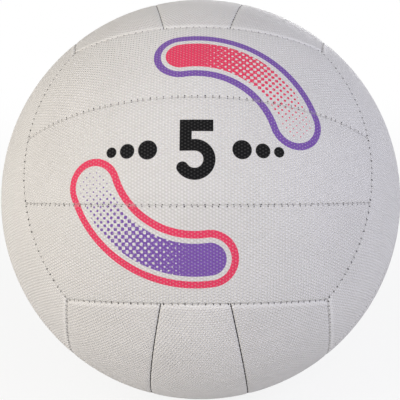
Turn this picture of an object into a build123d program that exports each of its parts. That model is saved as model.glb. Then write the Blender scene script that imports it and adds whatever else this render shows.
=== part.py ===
"""Netball, size 5: eighteen sewn panels round a bladder, with a needle valve. Millimetres and degrees.

The cover has six faces, laid out like the faces of a cube, with three parallel strips to a face. Strips of
neighbouring faces run crosswise, so the ends of one face's strips meet the long edge of the next face.
The ball's centre is the origin and +Z is up. The front face looks towards -Y, rolled back from upright.
"""

import os
from math import acos, asin, atan, atan2, cos, degrees, pi, radians, sin, sqrt

from build123d import *

# Ball
BALL_CIRCUMFERENCE = 700.0
ROLL_BACK = 30.0

# Layers of the wall, from the outside in
SKIN = 1.3
BACKING = 1.6
BLADDER_WALL = 0.8
GLUE_LINE = 0.05
BLADDER_GAP = 0.1

# Layout of a face, as angles at the ball's centre
MIDDLE_STRIP_ANGLE = 27.0
FACE_WIDTH_ANGLE = 76.6

# Seams
THREAD = 0.4
THREAD_CLEARANCE = 0.05
THREAD_END_GAP = 1.5
EDGE_ROUND = 1.0

# Valve
CORE_DIAMETER = 5.6
CORE_LENGTH = 17.0
CORE_TIP_CHAMFER = 1.0
CORE_HEAD_DIAMETER = 7.4
CORE_HEAD_THICKNESS = 1.8
CORE_CLEARANCE = 0.05
NEEDLE_BORE = 2.2
NEEDLE_DEPTH = 10.0
NEEDLE_LEAD_IN = 0.6
SLIT_WIDTH = 0.15
SLIT_LENGTH = 3.0
COLLAR_WALL = 1.3
COLLAR_CLEARANCE = 0.15
COLLAR_RECESS = 0.5
BOOT_WALL = 4.0
BOOT_LENGTH = 14.0
FLANGE_RIM = 8.0
FLANGE_CLEARANCE = 0.2

# Radii of the layers about the ball's centre
BALL_RADIUS = BALL_CIRCUMFERENCE / (2 * pi)
BACKING_OUTER = BALL_RADIUS - SKIN - GLUE_LINE
BACKING_INNER = BACKING_OUTER - BACKING
BLADDER_OUTER = BACKING_INNER - BLADDER_GAP
BLADDER_INNER = BLADDER_OUTER - BLADDER_WALL

# Seam geometry, in radians. The ends of a face's strips lie on a cone with its tip at the ball's centre.
# It passes through two corners of the cube and the middle of the neighbour's long edge.
STRIP_HALF = radians(MIDDLE_STRIP_ANGLE / 2)
FACE_HALF = radians(FACE_WIDTH_ANGLE / 2)
CORNER = 1 / sqrt(3)
CONE_TILT = atan((sin(FACE_HALF) - CORNER) / (cos(FACE_HALF) - CORNER))
CONE_HALF = pi / 2 - FACE_HALF + CONE_TILT
CUBE_CORNER_ANGLE = pi / 4
SEAM_GAP = THREAD + 2 * THREAD_CLEARANCE
THREAD_RADIUS = BALL_RADIUS - EDGE_ROUND - THREAD

# Margins by which a blank or a cutter runs past the edge that it makes
SIDE_MARGIN = radians(5)
END_MARGIN = radians(8)
CUT_MARGIN = radians(35)
CUT_SWEEP = radians(65)
CUT_PAST = 1.0

# Valve radii and heights along its axis from the ball's centre
CORE_RADIUS = CORE_DIAMETER / 2
HEAD_RADIUS = CORE_HEAD_DIAMETER / 2
BOOT_BORE = CORE_RADIUS + CORE_CLEARANCE
BOOT_SEAT = HEAD_RADIUS + CORE_CLEARANCE
COLLAR_RADIUS = BOOT_SEAT + COLLAR_WALL
BOOT_RADIUS = BOOT_BORE + BOOT_WALL
FLANGE_RADIUS = BOOT_RADIUS + FLANGE_RIM
FLANGE_INNER = BLADDER_OUTER + GLUE_LINE
FLANGE_OUTER = BACKING_OUTER
VALVE_TOP = BALL_RADIUS - COLLAR_RECESS
HEAD_UNDERSIDE = VALVE_TOP - CORE_HEAD_THICKNESS

# Each face: its outward direction, the direction of its strips, the names of its strips across that
# direction, and the faces that its strips run towards and come from
FACES = {
    "front": ((0, -1, 0), (1, 0, 0), ("upper", "middle", "lower"), ("right", "left")),
    "back": ((0, 1, 0), (-1, 0, 0), ("upper", "middle", "lower"), ("left", "right")),
    "left": ((-1, 0, 0), (0, 0, 1), ("rear", "middle", "fore"), ("top", "bottom")),
    "right": ((1, 0, 0), (0, 0, -1), ("rear", "middle", "fore"), ("bottom", "top")),
    "top": ((0, 0, 1), (0, -1, 0), ("right", "middle", "left"), ("front", "back")),
    "bottom": ((0, 0, -1), (0, 1, 0), ("right", "middle", "left"), ("back", "front")),
}
VALVE_FACE = "top"


def face_plane(face, turn=0):
    """Plane through the ball's centre with its normal out of a face and its x along the strips."""
    outward, along = FACES[face][:2]
    upright = Plane(origin=(0, 0, 0), x_dir=along, z_dir=outward)
    return Plane(Rotation(-ROLL_BACK, 0, 0) * upright.location * Rotation(0, 0, turn))


def end_plane(end):
    """Plane square to the axis of the cone at one end of the strips, with x towards that end."""
    return Plane(
        origin=(0, 0, 0),
        x_dir=(end * cos(CONE_TILT), 0, sin(CONE_TILT)),
        z_dir=(-end * sin(CONE_TILT), 0, cos(CONE_TILT)),
    )


def neighbour_plane():
    """Plane square to the axis of the neighbour's cone at the long edge, with x towards that edge."""
    return Plane(
        origin=(0, 0, 0),
        x_dir=(0, sin(CONE_TILT), cos(CONE_TILT)),
        z_dir=(0, cos(CONE_TILT), -sin(CONE_TILT)),
    )


def strip_plane(angle):
    """Plane along the strips at an angle from the face's middle, with x outward."""
    return Plane(
        origin=(0, 0, 0),
        x_dir=(0, sin(angle), cos(angle)),
        z_dir=(0, cos(angle), -sin(angle)),
    )


def profile_plane(plane, angle):
    """Plane through the normal of another plane, with y along it, at an angle round it from its x."""
    turned = Plane(plane.location * Rotation(0, 0, degrees(angle)))
    return Plane(origin=turned.origin, x_dir=turned.x_dir, z_dir=-turned.y_dir)


def polar(radius, angle):
    """Point of a profile plane at a distance from the ball's centre and an angle from its y."""
    return (radius * sin(angle), radius * cos(angle))


def shell_sector(plane, outer, inner, first, last, half_sweep, inset=0.0):
    """Piece of a thick shell about the ball's centre, swept round a plane's normal.

    It lies between two angles from the normal and sweeps to both sides of the plane's x. Its first edge
    is drawn towards the normal by the inset.
    """
    outer_first = first - asin(inset / outer)
    inner_first = first - asin(inset / inner)
    with BuildPart() as sector:
        with BuildSketch(profile_plane(plane, -half_sweep)):
            with BuildLine():
                Line(polar(inner, inner_first), polar(outer, outer_first))
                outer_middle = polar(outer, (outer_first + last) / 2)
                ThreePointArc(polar(outer, outer_first), outer_middle, polar(outer, last))
                Line(polar(outer, last), polar(inner, last))
                inner_middle = polar(inner, (inner_first + last) / 2)
                ThreePointArc(polar(inner, last), inner_middle, polar(inner, inner_first))
            make_face()
        revolve(axis=Axis(plane.origin, plane.z_dir), revolution_arc=degrees(2 * half_sweep))
    return sector.part


def strip_block(strip, inset, outer, inner):
    """A middle or side strip between two radii, with each edge drawn in from its seam by the inset."""
    if strip == "middle":
        low_side = -STRIP_HALF - SIDE_MARGIN
        high_side = STRIP_HALF + SIDE_MARGIN
    else:
        low_side = STRIP_HALF - SIDE_MARGIN
        high_side = CUBE_CORNER_ANGLE + SIDE_MARGIN
    centre_line = (low_side + high_side) / 2
    across = Plane(
        origin=(0, 0, 0),
        x_dir=(0, sin(centre_line), cos(centre_line)),
        z_dir=(-1, 0, 0),
    )
    short_of_pole = FACE_HALF - END_MARGIN
    half_width = (high_side - low_side) / 2
    blank = shell_sector(across, outer, inner, short_of_pole, pi - short_of_pole, half_width)

    past_outer = outer + CUT_PAST
    past_inner = inner - CUT_PAST
    cone_outside = CONE_HALF + CUT_MARGIN
    cone_inside = CONE_HALF - CUT_MARGIN
    cuts = []
    for end in (-1, 1):
        cut = shell_sector(
            end_plane(end), past_outer, past_inner, CONE_HALF, cone_outside, CUT_SWEEP, inset
        )
        cuts.append(cut)
    if strip == "side":
        cut = shell_sector(
            neighbour_plane(), past_outer, past_inner, CONE_HALF, cone_inside, CUT_SWEEP, -inset
        )
        cuts.append(cut)

    with BuildPart() as block:
        add(blank)
        if strip == "middle":
            split(bisect_by=strip_plane(STRIP_HALF).offset(-inset), keep=Keep.BOTTOM)
            split(bisect_by=strip_plane(-STRIP_HALF).offset(inset), keep=Keep.TOP)
        else:
            split(bisect_by=strip_plane(STRIP_HALF).offset(inset), keep=Keep.TOP)
        add(cuts, mode=Mode.SUBTRACT)
    return block.part


def make_cover(strip):
    """Grip skin of one strip: a tray whose edges are rounded over and turned in along the seams."""
    body = strip_block(strip, SEAM_GAP / 2, BALL_RADIUS, BACKING_INNER)
    pocket = strip_block(strip, SEAM_GAP / 2 + SKIN, BALL_RADIUS - SKIN, BACKING_INNER - CUT_PAST)
    with BuildPart() as cover:
        add(body)
        outside = cover.faces().sort_by(SortBy.DISTANCE)[-1]
        fillet(outside.edges(), EDGE_ROUND)
        add(pocket, mode=Mode.SUBTRACT)
    return cover.part


def make_backing(strip):
    """Cloth plies laminated into the tray of one strip's skin."""
    inset = SEAM_GAP / 2 + SKIN + GLUE_LINE
    return strip_block(strip, inset, BACKING_OUTER, BACKING_INNER)


def with_round_hole(panel, radius):
    """A middle strip with a round hole in its middle for the valve."""
    with BuildPart() as holed:
        add(panel)
        with Locations((0, 0, BALL_RADIUS)):
            Hole(radius)
    return holed.part


def make_thread(plane, from_axis, half_length):
    """Sewing thread along a seam, in the gap under the rounded edges, to both sides of a plane's x."""
    thread_circle = THREAD_RADIUS * sin(from_axis)
    half_sweep = half_length - (SEAM_GAP + THREAD_END_GAP) / thread_circle
    with BuildPart() as thread:
        with BuildSketch(profile_plane(plane, -half_sweep)):
            with Locations(polar(THREAD_RADIUS, from_axis)):
                Circle(THREAD / 2)
        revolve(axis=Axis(plane.origin, plane.z_dir), revolution_arc=degrees(2 * half_sweep))
    return thread.part


os.makedirs("parts", exist_ok=True)


def write(piece, name):
    """Label a finished piece and write it as its own file."""
    piece.label = name
    export_step(piece, f"parts/{name}.step")


# Cover panels and their backings. The two side strips of a face are the same strip, half a turn apart.
covers = {"middle": make_cover("middle"), "side": make_cover("side")}
backings = {"middle": make_backing("middle"), "side": make_backing("side")}
valve_cover = with_round_hole(covers["middle"], COLLAR_RADIUS + COLLAR_CLEARANCE)
valve_backing = with_round_hole(backings["middle"], FLANGE_RADIUS + FLANGE_CLEARANCE)
for face, (_, _, strip_names, _) in FACES.items():
    for strip_name, shape, turn in zip(strip_names, ("side", "middle", "side"), (0, 0, 180)):
        with_valve = face == VALVE_FACE and shape == "middle"
        with BuildPart(face_plane(face, turn)) as cover:
            add(valve_cover if with_valve else covers[shape])
        write(cover.part, f"cover_{face}_{strip_name}")
        with BuildPart(face_plane(face, turn)) as backing:
            add(valve_backing if with_valve else backings[shape])
        write(backing.part, f"backing_{face}_{strip_name}")

# Threads: the two seams between a face's strips, and one round seam at each end of its strips
strip_seam_reach = sqrt((cos(STRIP_HALF) * cos(CONE_TILT)) ** 2 + sin(CONE_TILT) ** 2)
strip_seam_lean = atan2(sin(CONE_TILT), cos(STRIP_HALF) * cos(CONE_TILT))
strip_seam_half = acos(cos(CONE_HALF) / strip_seam_reach) - strip_seam_lean
end_seam_half = atan2(1, cos(CONE_TILT) + sin(CONE_TILT))
strip_threads = [
    make_thread(strip_plane(angle), pi / 2, strip_seam_half) for angle in (-STRIP_HALF, STRIP_HALF)
]
end_threads = [make_thread(end_plane(end), CONE_HALF, end_seam_half) for end in (1, -1)]
for face, (_, _, _, end_faces) in FACES.items():
    with BuildPart(face_plane(face)) as thread:
        add(strip_threads)
    write(thread.part, f"thread_{face}_strips")
    for end_face, end_thread in zip(end_faces, end_threads):
        with BuildPart(face_plane(face)) as thread:
            add(end_thread)
        write(thread.part, f"thread_{face}_{end_face}")

# Bladder: a hollow ball with one opening for the valve boot
with BuildPart(face_plane(VALVE_FACE)) as bladder:
    Sphere(BLADDER_OUTER)
    Sphere(BLADDER_INNER, mode=Mode.SUBTRACT)
    with Locations((0, 0, BLADDER_OUTER)):
        Hole(BOOT_RADIUS + GLUE_LINE, depth=BLADDER_OUTER)
write(bladder.part, "bladder")

# Valve boot: a body inside the bladder, a flange glued onto it and a collar up through the cover
flange_angle = asin(FLANGE_RADIUS / FLANGE_OUTER)
body_top = sqrt(FLANGE_INNER**2 - BOOT_RADIUS**2)
body_bottom = body_top - BOOT_LENGTH
collar_foot = sqrt(FLANGE_OUTER**2 - COLLAR_RADIUS**2)
flange_under = polar(FLANGE_INNER, (flange_angle + asin(BOOT_RADIUS / FLANGE_INNER)) / 2)
flange_over = polar(FLANGE_OUTER, (flange_angle + asin(COLLAR_RADIUS / FLANGE_OUTER)) / 2)
seat = HEAD_UNDERSIDE - CORE_CLEARANCE
valve_plane = face_plane(VALVE_FACE)
with BuildPart() as boot:
    with BuildSketch(profile_plane(valve_plane, 0)):
        with BuildLine():
            Polyline((BOOT_BORE, seat), (BOOT_BORE, body_bottom), (BOOT_RADIUS, body_bottom))
            Line((BOOT_RADIUS, body_bottom), (BOOT_RADIUS, body_top))
            ThreePointArc((BOOT_RADIUS, body_top), flange_under, polar(FLANGE_INNER, flange_angle))
            Line(polar(FLANGE_INNER, flange_angle), polar(FLANGE_OUTER, flange_angle))
            ThreePointArc(polar(FLANGE_OUTER, flange_angle), flange_over, (COLLAR_RADIUS, collar_foot))
            Polyline((COLLAR_RADIUS, collar_foot), (COLLAR_RADIUS, VALVE_TOP), (BOOT_SEAT, VALVE_TOP))
            Polyline((BOOT_SEAT, VALVE_TOP), (BOOT_SEAT, seat), (BOOT_BORE, seat))
        make_face()
    revolve(axis=Axis(valve_plane.origin, valve_plane.z_dir))
write(boot.part, "valve_boot")

# Valve core: a plug with a head, a needle channel from the top and a slit through its tip
core_tip = VALVE_TOP - CORE_LENGTH
channel_bottom = VALVE_TOP - NEEDLE_DEPTH
channel_radius = NEEDLE_BORE / 2
with BuildPart() as core:
    with BuildSketch(profile_plane(valve_plane, 0)):
        with BuildLine():
            Polyline(
                (0, core_tip),
                (CORE_RADIUS - CORE_TIP_CHAMFER, core_tip),
                (CORE_RADIUS, core_tip + CORE_TIP_CHAMFER),
                (CORE_RADIUS, HEAD_UNDERSIDE),
                (HEAD_RADIUS, HEAD_UNDERSIDE),
                (HEAD_RADIUS, VALVE_TOP),
                (channel_radius + NEEDLE_LEAD_IN, VALVE_TOP),
                (channel_radius, VALVE_TOP - NEEDLE_LEAD_IN),
                (channel_radius, channel_bottom),
                (0, channel_bottom),
                close=True,
            )
        make_face()
    revolve(axis=Axis(valve_plane.origin, valve_plane.z_dir))
    with BuildSketch(valve_plane.offset(core_tip)):
        Rectangle(SLIT_LENGTH, SLIT_WIDTH)
    extrude(amount=channel_bottom - core_tip, mode=Mode.SUBTRACT)
write(core.part, "valve_core")
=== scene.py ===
"""A netball dressed for its portrait: sewn grip panels, their stitches, the valve and the inner layers.

The frame is in metres, with the ball's centre at the origin and +Z up. Sizes of pieces are in millimetres.
"""

from collections import namedtuple
from functools import reduce

import bpy
import numpy as np
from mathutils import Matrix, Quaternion, Vector


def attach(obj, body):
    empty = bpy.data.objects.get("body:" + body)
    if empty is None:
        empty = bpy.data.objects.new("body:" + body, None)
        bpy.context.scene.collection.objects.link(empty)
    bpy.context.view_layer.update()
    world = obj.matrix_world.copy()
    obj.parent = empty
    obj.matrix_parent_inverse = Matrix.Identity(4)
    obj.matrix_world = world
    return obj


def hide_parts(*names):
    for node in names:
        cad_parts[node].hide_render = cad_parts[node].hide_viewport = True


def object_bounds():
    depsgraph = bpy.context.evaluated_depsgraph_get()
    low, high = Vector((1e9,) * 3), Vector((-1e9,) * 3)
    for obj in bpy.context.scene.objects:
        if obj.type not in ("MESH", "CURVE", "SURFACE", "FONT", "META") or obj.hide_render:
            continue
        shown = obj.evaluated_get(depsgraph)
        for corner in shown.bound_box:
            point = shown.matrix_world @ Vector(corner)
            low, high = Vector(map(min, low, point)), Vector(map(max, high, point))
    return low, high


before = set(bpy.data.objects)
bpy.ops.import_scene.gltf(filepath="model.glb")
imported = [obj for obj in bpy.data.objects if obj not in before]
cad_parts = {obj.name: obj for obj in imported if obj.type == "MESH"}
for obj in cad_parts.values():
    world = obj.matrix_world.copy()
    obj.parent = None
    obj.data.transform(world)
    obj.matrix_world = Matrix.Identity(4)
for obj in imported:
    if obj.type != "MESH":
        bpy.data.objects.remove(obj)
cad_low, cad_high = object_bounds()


# Bladder
# A hollow ball of black butyl rubber, moulded in two halves and dusted with chalk before it goes in.
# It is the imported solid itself, with a finish that shows the rubber's tooth and the chalk.

MILLIMETRE = 0.001


class Wire:
    """An output of a node. Sums on wires add Math nodes, and node() adds any other kind."""

    def __init__(self, tree, socket=None):
        self.tree = tree
        self.socket = socket

    def node(self, kind, settings, sockets, output=0):
        """Add a node: its settings first, then the value or the wire for each of its sockets."""
        made = self.tree.nodes.new("ShaderNode" + kind)
        for name, value in settings.items():
            setattr(made, name, value)
        for name, value in sockets.items():
            if isinstance(value, Wire):
                self.tree.links.new(value.socket, made.inputs[name])
            else:
                made.inputs[name].default_value = value
        return Wire(self.tree, made.outputs[output] if made.outputs else None)

    def math(self, operation, first, second=0.0):
        return self.node("Math", {"operation": operation}, {0: first, 1: second})

    def __add__(self, other):
        return self.math("ADD", self, other)

    def __sub__(self, other):
        return self.math("SUBTRACT", self, other)

    def __mul__(self, other):
        return self.math("MULTIPLY", self, other)

    def __truediv__(self, other):
        return self.math("DIVIDE", self, other)

    def __radd__(self, other):
        return self.math("ADD", other, self)

    def __rsub__(self, other):
        return self.math("SUBTRACT", other, self)

    def __rmul__(self, other):
        return self.math("MULTIPLY", other, self)

    def __abs__(self):
        return self.math("ABSOLUTE", self)

    def least(self, other):
        return self.math("MINIMUM", self, other)

    def most(self, other):
        return self.math("MAXIMUM", self, other)

    def sine(self):
        return self.math("SINE", self)

    def cosine(self):
        return self.math("COSINE", self)

    def hypot(self, other):
        """Length of the vector with these two sides."""
        return self.math("SQRT", self * self + other * other)

    def ease(self, start, end):
        """0 before the start, 1 after the end and a smooth step between. The end may be the lower."""
        sockets = {"Value": self, "From Min": start, "From Max": end}
        return self.node("MapRange", {"interpolation_type": "SMOOTHSTEP"}, sockets)

    def blend(self, colour, other):
        """The first colour where this wire is 0, and the other where it is 1.

        A Mix node's colours are its inputs 6 and 7, and their mixture is its output 2.
        """
        return self.node("Mix", {"data_type": "RGBA"}, {0: self, 6: colour, 7: other}, 2)

    def along(self, axis):
        """How far this vector reaches along an axis."""
        return self.node("VectorMath", {"operation": "DOT_PRODUCT"}, {0: self, 1: axis}, "Value")

    def speckle(self, scale, detail=2.0):
        """Noise from 0 to 1 at this place, with about so many lumps to the metre."""
        return self.node("TexNoise", {}, {"Vector": self, "Scale": scale, "Detail": detail})


def ink(red, green, blue):
    """A colour from its 0 to 255 screen values, as the linear light that a shader takes."""
    screen = np.array([red, green, blue]) / 255
    linear = np.where(screen > 0.04045, ((screen + 0.055) / 1.055) ** 2.4, screen / 12.92)
    return (*linear.tolist(), 1.0)


def new_finish(name):
    """An empty material, a wire to start its nodes from, and the place on the piece in metres."""
    material = bpy.data.materials.new(name)
    material.use_nodes = True
    material.node_tree.nodes.clear()
    start = Wire(material.node_tree)
    return material, start, start.node("TexCoord", {}, {}, "Object")


def surface(start, colour, roughness, shine, relief, relief_height):
    """Close a material: a Principled surface whose relief stands up by a height in millimetres."""
    distance = relief_height * MILLIMETRE
    sockets = {
        "Base Color": colour,
        "Roughness": roughness,
        "Specular IOR Level": shine,
        "Normal": start.node("Bump", {}, {"Strength": 1.0, "Distance": distance, "Height": relief}),
    }
    shader = start.node("BsdfPrincipled", {}, sockets)
    start.node("OutputMaterial", {}, {"Surface": shader})


DUST_LUMPS = 90.0
DUST_EDGE = (0.45, 0.75)
DUST_ROUGHNESS = 0.2
TOOTH_LUMPS = 2600.0
TOOTH_SHADE = 0.15
TOOTH_HEIGHT = 0.04
RUBBER_ROUGHNESS = 0.5
RUBBER_SHINE = 0.4


def rubber_finish(name, base, dust, dust_share):
    """Moulded rubber: one colour with a fine tooth, and soft patches of a paler dust."""
    material, start, place = new_finish(name)
    patches = place.speckle(DUST_LUMPS, detail=4.0).ease(*DUST_EDGE)
    tooth = place.speckle(TOOTH_LUMPS)
    colour = (patches * dust_share + tooth * TOOTH_SHADE).blend(base, dust)
    roughness = patches * DUST_ROUGHNESS + RUBBER_ROUGHNESS
    surface(start, colour, roughness, RUBBER_SHINE, tooth, TOOTH_HEIGHT)
    return material


def dress(node_name, finish):
    """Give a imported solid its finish."""
    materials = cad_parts[node_name].data.materials
    materials.clear()
    materials.append(finish)


BUTYL_BLACK = ink(26, 26, 28)
CHALK_GREY = ink(150, 148, 145)
CHALK_SHARE = 0.45

dress("bladder", rubber_finish("chalked_butyl", BUTYL_BLACK, CHALK_GREY, CHALK_SHARE))


# Backings
# Two plies of woven polyester and cotton, laminated behind each panel. Warp and weft follow the strips of
# their face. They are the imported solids, which lie hidden between the skin and the bladder.

ROLL_BACK = np.radians(30)

# Each face: its outward axis and the axis along its strips, before the ball is rolled back, its strips
# from one side to the other, and the faces at the two ends of the strips.
Face = namedtuple("Face", "outward along strips end_faces")
FACES = {
    "front": Face((0, -1, 0), (1, 0, 0), ("upper", "middle", "lower"), ("right", "left")),
    "back": Face((0, 1, 0), (-1, 0, 0), ("upper", "middle", "lower"), ("left", "right")),
    "left": Face((-1, 0, 0), (0, 0, 1), ("rear", "middle", "fore"), ("top", "bottom")),
    "right": Face((1, 0, 0), (0, 0, -1), ("rear", "middle", "fore"), ("bottom", "top")),
    "top": Face((0, 0, 1), (0, -1, 0), ("right", "middle", "left"), ("front", "back")),
    "bottom": Face((0, 0, -1), (0, 1, 0), ("right", "middle", "left"), ("back", "front")),
}

YARN_PITCH = 0.9
YARN_HEIGHT = 0.15
YARN_DARK = ink(150, 143, 130)
YARN_PALE = ink(216, 209, 194)
YARN_TONE_LUMPS = 700.0
WEAVE_SHARE = 0.6
CLOTH_ROUGHNESS = 0.9
CLOTH_SHINE = 0.2


def face_axes(face):
    """Rows of a face's frame: along its strips, across them, and outward, with the ball rolled back."""
    outward = np.array(FACES[face].outward, float)
    along = np.array(FACES[face].along, float)
    upright = np.stack([along, np.cross(outward, along), outward])
    level, lean = np.cos(ROLL_BACK), np.sin(ROLL_BACK)
    roll = np.array([[1, 0, 0], [0, level, lean], [0, -lean, level]])
    return upright @ roll.T


def cloth_finish(face):
    """Plain weave: the product of a wave along the warp and one along the weft, with uneven yarns."""
    material, start, place = new_finish(f"backing_cloth_{face}")
    warp_axis, weft_axis, _ = face_axes(face)
    turn = np.pi / (YARN_PITCH * MILLIMETRE)
    warp = place.along(warp_axis) * turn
    weft = place.along(weft_axis) * turn
    over = warp.sine() * weft.sine() * 0.5 + 0.5
    tone = place.speckle(YARN_TONE_LUMPS, detail=3.0)
    colour = (over * WEAVE_SHARE + tone * (1 - WEAVE_SHARE)).blend(YARN_DARK, YARN_PALE)
    surface(start, colour, CLOTH_ROUGHNESS, CLOTH_SHINE, over, YARN_HEIGHT)
    return material


for face, layout in FACES.items():
    cloth = cloth_finish(face)
    for strip_name in layout.strips:
        dress(f"backing_{face}_{strip_name}", cloth)


# Cover panels
# Each is a strip of pimpled grip rubber, sewn face to face with its neighbours and turned right side out,
# so its edges roll over into the seam and dent at every stitch. The front face carries a screen print.

BALL_RADIUS = (cad_high.x - cad_low.x) / 2 / MILLIMETRE
STRIP_HALF = np.radians(27.0) / 2
FACE_HALF = np.radians(76.6) / 2

# The ends of a face's strips lie on a cone through two of the ball's eight corners, which are a cube's.
CUBE_CORNER = 1 / np.sqrt(3)
CONE_TILT = np.arctan((np.sin(FACE_HALF) - CUBE_CORNER) / (np.cos(FACE_HALF) - CUBE_CORNER))
CONE_HALF = np.pi / 2 - FACE_HALF + CONE_TILT

# In a face's own frame, the axis along its strips and the one across them. The third is outward.
ALONG, ACROSS, _ = np.eye(3)

# Each seam: half its gap, the fall of its rolled edges, how far inside its two edges the needle holes lie,
# the radius of their painted shade, and how smooth the first edge is pulled, from 0 to 1, which also sets
# how much highlight is painted along it. The first edge is the side strip's or the strips' ends, and the
# second is the middle strip's or the neighbouring face's.
Seam = namedtuple("Seam", "gap fall first_hole second_hole hole_radius smooth")
STRIP_SEAMS = {
    **dict.fromkeys(("back", "left", "right"), Seam(0.04, 0.4, 0.6, 0.5, 0.275, 0.0)),
    "front": Seam(0.02, 0.27, 0.65, 0.15, 0.275, 0.0),
    "top": Seam(0.14, 0.15, 0.0, 0.0, 0.275, 0.0),
    "bottom": Seam(0.26, 0.15, 0.0, 0.0, 0.275, 0.0),
}
END_SEAMS = {
    **dict.fromkeys(("back", "left", "right"), Seam(0.03, 0.4, 0.6, 0.3, 0.275, 0.4)),
    "front": Seam(0.02, 0.22, 0.6, 0.2, 0.34, 0.0),
    "top": Seam(0.03, 0.4, 0.6, 0.3, 0.2, 0.6),
    "bottom": Seam(0.08, 0.25, 0.45, 0.1, 0.275, 0.45),
}

# The face that a side strip lies against, where the strip isn't named for it.
BESIDE = {"upper": "top", "lower": "bottom", "rear": "back", "fore": "front"}
CORNER_STEPS = 40


def end_edge(across, inset):
    """Angle along a strip to its end.

    There the line at an angle across the face meets the cone of the ends, which is drawn in by the inset.
    """
    level = np.cos(across) * np.cos(CONE_TILT)
    reach = np.hypot(level, np.sin(CONE_TILT))
    lean = np.arctan2(np.sin(CONE_TILT), level)
    return np.arccos(np.cos(CONE_HALF - inset / BALL_RADIUS) / reach) - lean


def strip_edge(along, inset):
    """Angle across a face to the plane between two strips, moved outward from the middle by the inset."""
    return STRIP_HALF + np.arcsin(np.sin(inset / BALL_RADIUS) / np.cos(along))


def long_edge(along, inset):
    """Angle across a face to its outer edge: the neighbouring face's cone, drawn in by the inset."""
    return CONE_TILT + np.arcsin(np.cos(CONE_HALF + inset / BALL_RADIUS) / np.cos(along))


def panel_corner(side_edge, end_inset):
    """Angles along and across to a panel's corner, by steps in turn to its side edge and to its end."""
    along = FACE_HALF
    for _ in range(CORNER_STEPS):
        across = side_edge(along)
        along = end_edge(across, end_inset)
    return along, across


def seam_banks(face, strip_name):
    """The seam and the place of its holes at each edge of a panel: low side, high side and two ends."""
    strips, ends = STRIP_SEAMS[face], END_SEAMS[face]
    if strip_name == "middle":
        sides = [(strips, strips.second_hole)] * 2
    else:
        beside = END_SEAMS[BESIDE.get(strip_name, strip_name)]
        sides = [(strips, strips.first_hole), (beside, beside.second_hole)]
    return sides + [(ends, ends.first_hole)] * 2


def panel_directions(banks, middle, inset, run, rise):
    """Unit vectors over a panel in its face's frame, each edge an inset further in than its seam's gap.

    At a share of the rise from the low to the high edge, the angle along is a share of the run to the end.
    The angle across is that share of the way between the two edges.
    """
    low_inset, high_inset, end_inset, _ = [seam.gap + inset for seam, _ in banks]

    def low_edge(along):
        return -strip_edge(along, -low_inset) if middle else strip_edge(along, low_inset)

    def high_edge(along):
        return strip_edge(along, -high_inset) if middle else long_edge(along, high_inset)

    run, rise = run[:, None] * 2 - 1, rise[None, :]
    low_along, low_across = panel_corner(low_edge, end_inset)
    high_along, high_across = panel_corner(high_edge, end_inset)
    along = run * end_edge(low_across + rise * (high_across - low_across), end_inset)
    across = (1 - rise) * low_edge(run * low_along) + rise * high_edge(run * high_along)
    level = np.cos(along)
    return np.stack([np.sin(along), level * np.sin(across), level * np.cos(across)], axis=-1)


# Stitches are counted along each seam from its middle, and the needle holes lie half way between counts.
STITCH_PITCH = 3.3
HOLE_AT = 0.5
END_RADIUS = BALL_RADIUS * np.sin(CONE_HALF)
END_SEAM_HALF = np.arctan2(1, np.cos(CONE_TILT) + np.sin(CONE_TILT))
STRIP_SEAM_HALF = end_edge(STRIP_HALF, 0)
END_STITCHES = 2 * round(END_RADIUS * END_SEAM_HALF / STITCH_PITCH)
STRIP_STITCHES = 2 * round(BALL_RADIUS * STRIP_SEAM_HALF / STITCH_PITCH)
END_PITCH = 2 * END_RADIUS * END_SEAM_HALF / END_STITCHES
STRIP_PITCH = 2 * BALL_RADIUS * STRIP_SEAM_HALF / STRIP_STITCHES

STITCH_DRIFT = 0.09
QUICK_WANDER = 2.3
SLOW_WANDER = 0.9
SLOW_START = 1.0


def drifted(stitches):
    """Stitches counted along a seam plus two waves, because no machine feeds the cover evenly."""
    wander = np.sin(QUICK_WANDER * stitches) + np.sin(SLOW_WANDER * stitches + SLOW_START)
    return stitches + STITCH_DRIFT * wander


def strip_seam(direction, side):
    """Millimetres outward from the seam between strips on one side, and stitches along it.

    The seam is a plane through the ball's centre, and its length runs with the angle along the strip.
    """
    x, y, z = np.moveaxis(direction, -1, 0)
    outward = side * y * np.cos(STRIP_HALF) - z * np.sin(STRIP_HALF)
    return BALL_RADIUS * np.arcsin(outward), drifted(BALL_RADIUS * np.arcsin(x) / STRIP_PITCH)


def end_cone(end):
    """Axis of the cone at one end of the strips, and the direction square to it towards that end."""
    sine, cosine = np.sin(CONE_TILT), np.cos(CONE_TILT)
    return np.array([-end * sine, 0, cosine]), np.array([end * cosine, 0, sine])


def cone_seam(direction, axis, towards, level):
    """Millimetres outside a cone about an axis, and stitches round it.

    The angle round the axis starts at the direction called towards and turns to the one called level.
    """
    from_axis = np.arccos(direction @ axis)
    round_axis = np.arctan2(direction @ level, direction @ towards)
    return BALL_RADIUS * (from_axis - CONE_HALF), drifted(END_RADIUS * round_axis / END_PITCH)


def seam_places(direction, middle):
    """Millimetres inside each seam of a panel and stitches along it: low side, high side and two ends."""
    outward, stitches = strip_seam(direction, 1)
    if middle:
        low_outward, low_stitches = strip_seam(direction, -1)
        sides = [(-low_outward, low_stitches), (-outward, stitches)]
    else:
        axis = np.array([0, np.cos(CONE_TILT), -np.sin(CONE_TILT)])
        towards = np.array([0, np.sin(CONE_TILT), np.cos(CONE_TILT)])
        sides = [(outward, stitches), cone_seam(direction, axis, towards, ALONG)]
    ends = []
    for end in (1, -1):
        outside, stitches = cone_seam(direction, *end_cone(end), ACROSS)
        ends.append((-outside, stitches))
    return sides + ends


EDGE_WIDTH = 1.2
DRAW_IN = 0.16
DRAW_REACH = 1.8
DENT = 0.16
DENT_LENGTH = 0.6
DENT_WIDTH = 0.5


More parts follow.
